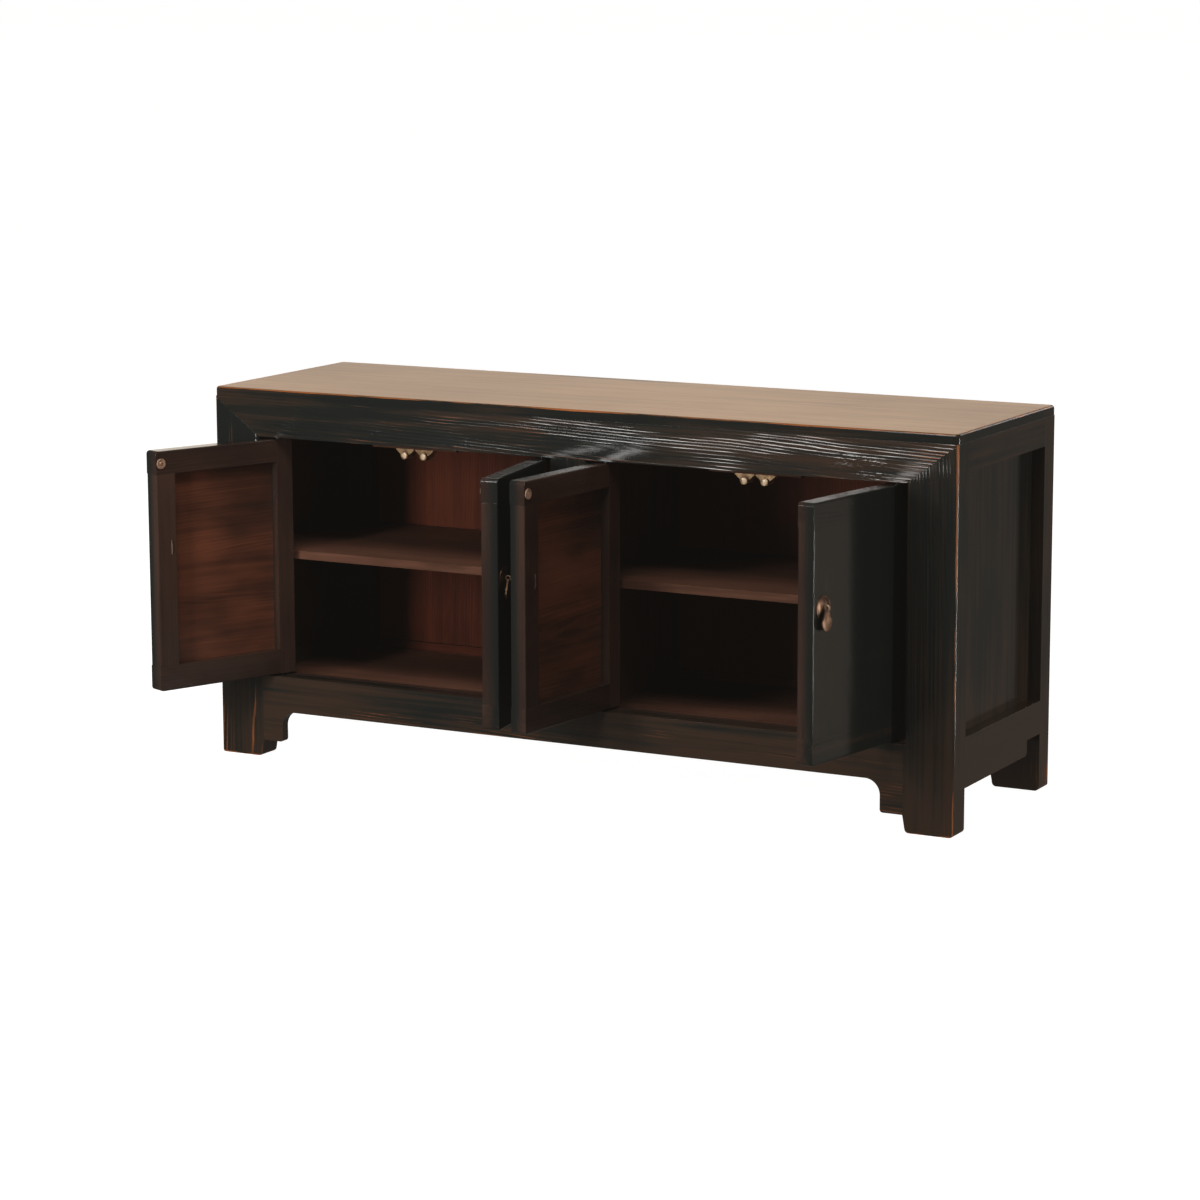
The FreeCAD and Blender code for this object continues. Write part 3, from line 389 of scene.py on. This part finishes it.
METALS = {
    "brass": Metal((0.24, 0.145, 0.075), (0.52, 0.34, 0.185), 0.40, 0.6),
    # Domed ends of the catches' magnets: cream-white, barely metallic brass, whose colour is a painted
    # highlight on polished brass
    "magnet": Metal((0.86, 0.64, 0.42), (1.0, 0.85, 0.65), 0.32, 0.1),
    "bronze": Metal((0.10, 0.058, 0.038), (0.27, 0.160, 0.102), 0.36, 1),
    "copper": Metal((0.38, 0.22, 0.140), (0.72, 0.47, 0.33), 0.34, 0.5),
    "rubbed_bronze": Metal((0.30, 0.21, 0.145), (0.66, 0.50, 0.37), 0.30, 0.7),
}


def metal(name):
    """Handled metal: brighter and smoother where fingers reach, dull between. The catches' domed ends
    are near-white all over, a painted highlight.
    """
    kind = METALS[name]
    look = Look(name)
    place = look.add("ShaderNodeTexCoord", {}, "Object")
    smudge = look.noise(place, SMUDGE_SCALE)
    colour = look.mix(look.step(smudge, *POLISHED), kind.dark, kind.bright)
    rough = look.blend(smudge, kind.roughness + DULL_ROUGHER, kind.roughness - POLISHED_SMOOTHER)
    arris = look.add("ShaderNodeBevel", {"Radius": METAL_ARRIS}, samples=BEVEL_SAMPLES)
    normal = look.bump(look.noise(place, GRIT_SCALE, ROUGH_NOISE), GRIT_RELIEF, arris)
    return look.finish(Base_Color=colour, Roughness=rough, Metallic=kind.metallic_share, Normal=normal)


# Boards, with the doors shut

class Board(NamedTuple):
    """How a board was cut and used: axes along the grain, across it and through it, how far its grain is
    raised, how worn and faded it is, and where the trunk's heart lay, as a share of its width.
    """

    axes: str
    raised: float
    wear: float
    faded: float
    heart_share: float


BOARDS = {
    "front_leg_left": Board("zxy", 0.40, -0.03, -0.16, 1.0),
    "front_leg_right": Board("zxy", 0.55, -0.15, 0.0, -0.9),
    "back_leg": Board("zxy", 0.40, -0.14, 0.16, 0.6),
    "centre_stile": Board("zxy", 0.45, -0.05, 0.0, 0.4),
    "hinge_stile": Board("zxy", 0.16, -0.75, -0.32, -1.2),
    "free_stile": Board("zxy", 0.16, -0.40, -0.32, 1.6),
    "side_panel": Board("zyx", 0.10, -0.20, 0.14, 0.4),
    "side_top_rail": Board("yzx", 0.2, -0.18, 0.10, -1.0),
    "side_bottom_rail": Board("yzx", 0.2, -0.16, 0.16, -1.0),
    "shelf_cleats": Board("xzy", 0.25, 0.0, 0.0, -1.0),
    "dividers": Board("zyx", 0.10, 0.0, 0.0, 0.4),
    "back_panel": Board("zxy", 0.10, 0.0, 0.0, 0.4),
    "front_top_rail": Board("xzy", 0.7, 0.02, 0.02, -1.6),
    "front_apron": Board("xzy", 0.40, -0.09, -0.06, -1.2),
    "back_top_rail": Board("xzy", 0.4, 0.0, 0.0, -1.2),
    "back_bottom_rail": Board("xzy", 0.4, 0.0, 0.0, -1.2),
    "door_1_panel": Board("xzy", 0.10, -0.40, -0.32, 0.4),
    "door_2_panel": Board("xzy", 0.10, -0.40, -0.32, 0.6),
    "door_3_panel": Board("xzy", 0.10, -0.40, -0.32, 0.3),
    "door_4_panel": Board("xzy", 0.10, -0.40, -0.32, 0.7),
    "top_rail": Board("xzy", 0.16, -0.40, -0.32, -1.2),
    "bottom_rail": Board("xzy", 0.16, -0.40, -0.32, 1.6),
    "catch_battens": Board("xyz", 0.2, 0.0, 0.0, -1.0),
    "top_board": Board("xyz", 0.10, -0.12, 0.0, 0.6),
    "bottom_board": Board("xyz", 0.15, 0.0, 0.0, 0.4),
    "shelf": Board("xyz", 0.15, 0.0, 0.0, 0.4),
}
AXES = {"x": 0, "y": 1, "z": 2}
HEART_DEPTH = 48 * MM
BEYOND_DOOR = ("hinge_stile", "strike", "pull")
JOINTS = {joint["child"]: joint for joint in frame["joints"]}
BODIES = frame["record"]["behaviour"]["bodies"]
BODY_OF = {node: body for body, nodes in BODIES.items() for node in nodes}
SLOT_OF = {part["node"]: part["material_slot"] for part in frame["record"]["subparts"]}


def shutting(body):
    """Matrix that takes a body from its stored place to where it stands with its door shut."""
    if body not in JOINTS:
        return Matrix.Identity(4)
    joint = JOINTS[body]
    if joint["parent"] in JOINTS:
        return shutting(joint["parent"])
    pivot = Matrix.Translation(joint["pos_m"])
    turn = Matrix.Rotation(math.radians(joint["range_deg"][0]), 4, Vector(joint["axis"]))
    return pivot @ turn @ pivot.inverted()


def extent(places):
    return [Vector(pick(place[axis] for place in places) for axis in range(3)) for pick in (min, max)]


def whole_of(body):
    """Box of a body's wood with its door shut."""
    shut = shutting(body)
    beyond = BEYOND_DOOR if body in JOINTS else ()
    nodes = [node for node in BODIES[body] if not any(word in node for word in beyond)]
    return extent([shut @ vertex.co for node in nodes for vertex in frame["nodes"][node].data.vertices])


def write(mesh, name, kind, numbers):
    attribute = mesh.attributes.new(name, kind, "POINT")
    attribute.data.foreach_set("value" if kind == "FLOAT" else "vector", numbers)


def dress(node, seed, material, whole):
    """Copy of a wooden node that carries its place in the trunk and its depth in its whole."""
    body = BODY_OF[node]
    board = next(board for word, board in BOARDS.items() if word in node)
    mesh = frame["nodes"][node].data.copy()
    places = [shutting(body) @ vertex.co for vertex in mesh.vertices]
    low, high = extent(places)
    axes = [AXES[letter] for letter in board.axes]
    heart = low.copy()
    heart[axes[1]] += board.heart_share * (high - low)[axes[1]]
    heart[axes[2]] += HEART_DEPTH
    count = len(places)
    write(mesh, "trunk", "FLOAT_VECTOR", [(place - heart)[axis] for place in places for axis in axes])
    write(mesh, "low", "FLOAT_VECTOR", [number for place in places for number in place - whole[0]])
    write(mesh, "high", "FLOAT_VECTOR", [number for place in places for number in whole[1] - place])
    facts = {"seed": seed, "raised": board.raised, "wear": board.wear, "faded": board.faded}
    for name, number in facts.items():
        write(mesh, name, "FLOAT", [number] * count)
    mesh.materials.clear()
    mesh.materials.append(material)
    made = add_object(node + "_board", mesh)
    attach(made, body)
    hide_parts(node)
    return made


# Fittings, drawn with the door shut. Turned profiles are (radius, height off the face)

TURNED_STEPS = 48
SMOOTH_BELOW = math.radians(35)
WELD = 0.001 * MM
ROSETTE_MM = [(19, 0), (19, 0.7), (18.3, 1.25), (16.8, 1.35), (15.8, 0.95), (14.8, 1.3), (9, 1.9),
              (0, 2.1)]
STRIKE_MM = [(8.5, 0), (8.5, 0.9), (8, 1.35), (6.7, 1.5), (5, 0.9), (3.4, 0.6), (3.1, 0.95), (2, 1.35),
             (0, 1.5)]
BUTTON_MM = [(5, -1.6), (4.7, -0.8), (3.6, -0.3), (2, -0.08), (0, 0)]
WIRE_STEPS = 12
PIN_TAIL_MM = [(0, 1.1, 0.2, 1.3), (4, 1.1, 0.5, 1.6), (9, 0.9, 0.3, 1.1), (12, 0.5, 0.1, 0.5)]
PENDANT_ROUNDING, PENDANT_SEGMENTS = 0.9 * MM, 3
MAGNET_APART = 10 * MM
OUTWARD, INWARD, SIDEWAYS = Vector((0, -1, 0)), Vector((0, 1, 0)), Vector((1, 0, 0))


def shut_extent(node):
    shut = shutting(BODY_OF[node])
    return extent([shut @ vertex.co for vertex in frame["nodes"][node].data.vertices])


def place_fitting(name, work, node, material):
    """Object of a mesh drawn in the shut frame, put on the body of the node that it stands for."""
    body = BODY_OF[node]
    bmesh.ops.remove_doubles(work, verts=work.verts, dist=WELD)
    bmesh.ops.recalc_face_normals(work, faces=work.faces)
    mesh = bpy.data.meshes.new(name)
    work.transform(shutting(body).inverted())
    work.to_mesh(mesh)
    work.free()
    mesh.shade_smooth()
    mesh.set_sharp_from_angle(angle=SMOOTH_BELOW)
    mesh.materials.append(material)
    made = add_object(name, mesh)
    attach(made, body)
    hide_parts(node)
    return made


def turned(profile, centre, axis, closed=False):
    """Mesh of (radius, height) points turned about an axis through a centre."""
    work = bmesh.new()
    verts = [work.verts.new((radius, 0, height)) for radius, height in profile]
    ends = zip(verts, verts[1:] + verts[:1]) if closed else zip(verts, verts[1:])
    edges = [work.edges.new(pair) for pair in ends]
    bmesh.ops.spin(work, geom=verts + edges, cent=(0, 0, 0), axis=(0, 0, 1), angle=math.tau,
                   steps=TURNED_STEPS)
    work.transform(Matrix.Translation(centre) @ axis.to_track_quat("Z", "Y").to_matrix().to_4x4())
    return work


def in_metres(profile):
    return [tuple(MM * number for number in point) for point in profile]


def add_tail(work, base, up):
    """One tapering tail of a split pin, bent flat along the door."""
    rings = []
    for reach, half_width, near, far in in_metres(PIN_TAIL_MM):
        corners = ((-half_width, near), (half_width, near), (half_width, far), (-half_width, far))
        rings.append([work.verts.new(base + Vector((x, y, up * reach))) for x, y in corners])
    for first, second in zip(rings, rings[1:]):
        for face in zip(first, first[1:] + first[:1], second[1:] + second[:1], second):
            work.faces.new(face)
    work.faces.new(rings[-1])


def add_pull(door):
    """Domed plate, round-wire eye and bent tails of one pull, and its leaf with rounded arrises."""
    bronze, rubbed_bronze = MATERIALS["bronze"], MATERIALS["rubbed_bronze"]
    plate = f"{door}_pull_plate"
    low, high = shut_extent(plate)
    centre = (low + high) / 2
    centre.y = high.y
    place_fitting(plate + "_dome", turned(in_metres(ROSETTE_MM), centre, OUTWARD), plate, bronze)
    pin = f"{door}_pull_pin"
    pin_low, pin_high = shut_extent(pin)
    wire = (pin_high.x - pin_low.x) / 2
    eye = Vector((centre.x, (pin_low.y + low.y) / 2, centre.z))
    reach = eye.y - pin_low.y - wire
    turns = [math.tau * i / WIRE_STEPS for i in range(WIRE_STEPS)]
    section = [(reach + wire * math.cos(turn), wire * math.sin(turn)) for turn in turns]
    place_fitting(pin + "_eye", turned(section, eye, SIDEWAYS, closed=True), pin, rubbed_bronze)
    tails = bmesh.new()
    for up in (1, -1):
        add_tail(tails, Vector((centre.x, pin_high.y - wire, centre.z)), up)
    place_fitting(pin + "_tails", tails, pin, rubbed_bronze)
    leaf = f"{door}_pull_pendant"
    work = bmesh.new()
    work.from_mesh(frame["nodes"][leaf].data)
    work.transform(shutting(BODY_OF[leaf]))
    made = place_fitting(leaf + "_leaf", work, leaf, bronze)
    rounding = made.modifiers.new("rounding", "BEVEL")
    rounding.width = PENDANT_ROUNDING
    rounding.segments = PENDANT_SEGMENTS
    rounding.angle_limit = SMOOTH_BELOW


def add_strike(door):
    strike = f"{door}_strike"
    low, high = shut_extent(strike)
    centre = (low + high) / 2
    centre.y = low.y
    dish = turned(in_metres(STRIKE_MM), centre, INWARD)
    place_fitting(strike + "_dish", dish, strike, MATERIALS["copper"])


def add_buttons():
    """Domed ends of the catches' magnets, in near-white brass whose colour is a painted highlight."""
    node = "catch_magnets"
    vertices = frame["nodes"][node].data.vertices
    places = sorted((vertex.co for vertex in vertices), key=lambda place: place.x)
    groups = [[places[0]]]
    for before, place in zip(places, places[1:]):
        if place.x - before.x > MAGNET_APART:
            groups.append([])
        groups[-1].append(place)
    for number, group in enumerate(groups, start=1):
        low, high = extent(group)
        centre = (low + high) / 2
        centre.y = low.y
        dome = turned(in_metres(BUTTON_MM), centre, OUTWARD)
        place_fitting(f"catch_button_{number}", dome, node, MATERIALS["magnet"])


# Light and floor

FLOOR_REACH = 40
FLOOR_WHITE = (0.30, 0.30, 0.30)
FLOOR_PALE = (0.34, 0.34, 0.34)
FLOOR_ROUGHNESS = 0.9
PAPER_SCALE = (4, 4, 4)
GLOW_WHITE = (1.0, 1.0, 1.0)
FLOOR_GLOW = 0.965
SKY = (0.115, 0.102, 0.090)
VEIL = (-0.0046, -0.0042, -0.0036)


class Lamp(NamedTuple):
    place: tuple
    aim: tuple
    width: float
    height: float
    watts: float
    colour: tuple


LAMPS = {
    "front_softbox": Lamp((-0.80, -2.6, 0.85), (-0.2, 0, 0.45), 0.40, 1.1, 40, (1.0, 0.96, 0.91)),
    "back_softbox": Lamp((-1.9, 3.9, 1.9), (0, 0.1, 0.6), 3.2, 2.0, 25, (1.0, 0.88, 0.74)),
    "upper_softbox": Lamp((0.3, -1.5, 2.5), (0, -0.1, 0.5), 1.6, 0.9, 44, (1.0, 0.96, 0.91)),
    "right_strip": Lamp((3.2, 0.15, 0.55), (0.6, 0, 0.4), 0.12, 1.0, 25, (1.0, 0.97, 0.93)),
    "front_reflector": Lamp((-0.85, -2.6, 0.95), (0.2, 0, 0.5), 1.0, 0.35, 21, (1.0, 0.97, 0.94)),
    "right_reflector": Lamp((3.3, 2.6, -0.4), (0.5, -0.35, 0.35), 1.4, 0.8, 0.65, (1.0, 0.80, 0.62)),
    "glint_strip": Lamp((3.2, 0.9, -0.08), (0.5, -0.3, 0.35), 0.12, 0.66, 16, (1.0, 0.97, 0.93)),
    "left_softbox": Lamp((-3.4, 0.6, 1.0), (-0.6, 0, 0.4), 1.2, 1.2, 30, (1.0, 0.97, 0.93)),
    "back_reflector": Lamp((1.4, 3.9, 1.9), (0.6, 0, 0.3), 0.7, 0.7, 4, (1.0, 0.97, 0.94)),
}
GLOSS_ONLY = ("front_reflector", "right_reflector", "glint_strip", "back_reflector")
FILL_ONLY = ("front_softbox", "right_strip", "left_softbox")


def add_studio():
    """Pale floor with far walls of the same paper, a dim sky and the lamps."""
    corners = [(x, y, z) for z in (0, 1) for x, y in ((-1, -1), (1, -1), (1, 1), (-1, 1))]
    walls = [(0, 1, 5, 4), (1, 2, 6, 5), (2, 3, 7, 6), (3, 0, 4, 7)]
    mesh = bpy.data.meshes.new("floor")
    mesh.from_pydata([FLOOR_REACH * Vector(corner) for corner in corners], [], [(0, 1, 2, 3), *walls])
    look = Look("floor")
    place = look.add("ShaderNodeTexCoord", {}, "Object")
    paper = look.mix(look.noise(place, PAPER_SCALE), FLOOR_WHITE, FLOOR_PALE)
    mesh.materials.append(look.finish(Base_Color=paper, Roughness=FLOOR_ROUGHNESS,
                                      Emission_Color=GLOW_WHITE, Emission_Strength=FLOOR_GLOW))
    floor = add_object("floor", mesh)
    floor.visible_glossy = False
    floor.visible_diffuse = False
    floor.visible_shadow = False
    world = bpy.data.worlds.new("studio")
    world.use_nodes = True
    sky = world.node_tree.nodes["Background"]
    sky.inputs["Color"].default_value = opaque(SKY)
    scene.world = world
    for name, lamp in LAMPS.items():
        light = add_object(name, bpy.data.lights.new(name, "AREA"))
        light.data.shape = "RECTANGLE"
        light.data.size, light.data.size_y = lamp.width, lamp.height
        light.data.energy = lamp.watts
        light.data.color = lamp.colour
        light.location = lamp.place
        ray = Vector(lamp.aim) - Vector(lamp.place)
        light.rotation_euler = ray.to_track_quat("-Z", "Y").to_euler()
        light.visible_camera = False
        light.visible_diffuse = name not in GLOSS_ONLY
        light.visible_glossy = name not in FILL_ONLY
    scene.view_settings.view_transform = "Standard"
    scene.view_settings.use_curve_mapping = True
    scene.view_settings.curve_mapping.black_level = VEIL
    scene.view_settings.curve_mapping.update()


def spare(lamp, lit):
    """Keep one lamp off one object, which would glare in a view from behind."""
    spared = bpy.data.collections.new("spared_by_" + lamp)
    spared.objects.link(lit)
    spared.collection_objects[0].light_linking.link_state = "EXCLUDE"
    bpy.data.objects[lamp].light_linking.receiver_collection = spared


# Everything together

MATERIALS = {
    "black_lacquer": case_lacquer(),
    "door_frame": door_wood("door_frame_wood", FRAME_INSIDE_DARK, FRAME_INSIDE_LIGHT, FRAME_SKIN),
    "top_lacquer": top_lacquer(),
    "panel_wood": door_wood("door_panel_wood", PANEL_DARK, PANEL_LIGHT, PANEL_SKIN),
    "inside_wood": stained_wood("inside_wood", INSIDE_DARK, INSIDE_LIGHT, INSIDE_ROUGHNESS),
    "back_wood": stained_wood("back_wood", BACK_DARK, BACK_LIGHT, BACK_ROUGHNESS),
    **{name: metal(name) for name in METALS},
}

add_camera()
add_studio()
WOODS = ("black_lacquer", "top_lacquer", "panel_wood", "inside_wood", "back_wood")
WHOLES = {body: whole_of(body) for body in BODIES if not body.startswith("pull")}
for seed, node in enumerate(sorted(SLOT_OF)):
    slot = SLOT_OF[node]
    if slot in WOODS:
        on_door = BODY_OF[node] in JOINTS
        kind = "door_frame" if on_door and slot == "black_lacquer" else slot
        made = dress(node, seed, MATERIALS[kind], WHOLES[BODY_OF[node]])
        if slot == "top_lacquer":
            spare("front_reflector", made)
for body in BODIES:
    if body.startswith("door"):
        add_pull(body)
        add_strike(body)
add_buttons()
catches = frame["nodes"]["catch_bodies"].data.materials
catches.clear()
catches.append(MATERIALS["brass"])
